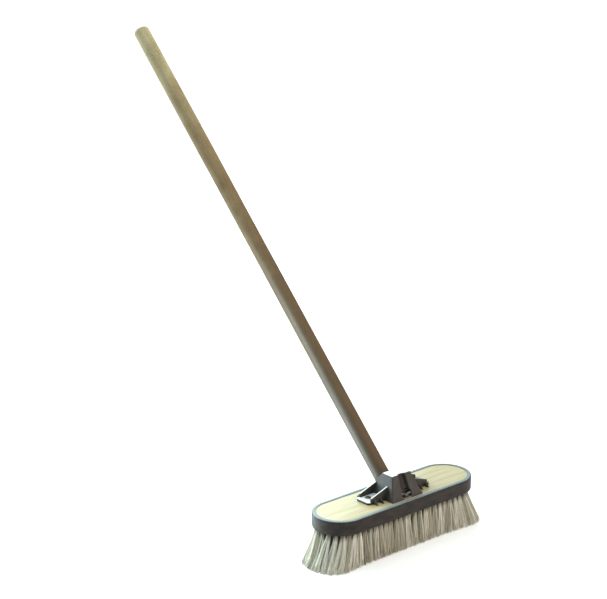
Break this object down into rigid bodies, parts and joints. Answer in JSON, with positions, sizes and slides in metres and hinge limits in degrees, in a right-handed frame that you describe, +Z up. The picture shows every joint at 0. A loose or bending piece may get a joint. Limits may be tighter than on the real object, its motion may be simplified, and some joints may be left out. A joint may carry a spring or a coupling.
{
  "type": "push broom",
  "caption": "Wide bristle broom head with a wooden block, rubber bumper and cast bracket that clamps a long wooden handle that leans back.",
  "frame": {"origin": "on the floor under the middle of the block, at the flat end of the middle tuft", "axes": "+X along the block, +Y the way the handle leans (backwards), +Z up"},
  "size_m": [0.4476, 0.8901, 0.9411],
  "materials": {
    "block_wood": "planed and clear lacquered",
    "handle_wood": "turned and sanded, darkened by use",
    "bumper_rubber": "satin extruded strip",
    "bristle": "natural fibre look, unflagged",
    "cast_metal": "dark painted casting",
    "zinc_steel": "zinc plated",
    "screw_steel": "bronzed steel"
  },
  "bodies": {
    "head": {"block": "block_wood", "bumper": "bumper_rubber", "bumper_nails": "zinc_steel", "tufts_outer": "bristle", "tufts_second": "bristle", "tufts_third": "bristle", "tufts_centre": "bristle", "anchors_outer": "zinc_steel", "anchors_second": "zinc_steel", "anchors_third": "zinc_steel", "anchors_centre": "zinc_steel", "bracket": "cast_metal", "foot_screws": "screw_steel", "clamp_stud": "zinc_steel"},
    "washer": {"clamp_washer": "zinc_steel"},
    "wing_nut": {"wing_nut": "zinc_steel"},
    "handle": {"handle": "handle_wood"}
  },
  "joints": [
    {"name": "washer_rise", "type": "slide", "parent": "head", "child": "washer", "axis": [0, 0, 1], "range_m": [0, 0.002]},
    {"name": "wing_nut_turn", "type": "hinge", "parent": "washer", "child": "wing_nut", "pos_m": [0, -0.036, 0.1075], "axis": [0, 0, 1], "range_deg": [0, 720]},
    {"name": "handle_pull_out", "type": "slide", "parent": "head", "child": "handle", "axis": [0, 0.7009, 0.7133], "range_m": [0, 0.06]}
  ],
  "couplings": [
    {"joint": "washer_rise", "follows": "wing_nut_turn", "m_per_rad": 0.00015915}
  ]
}
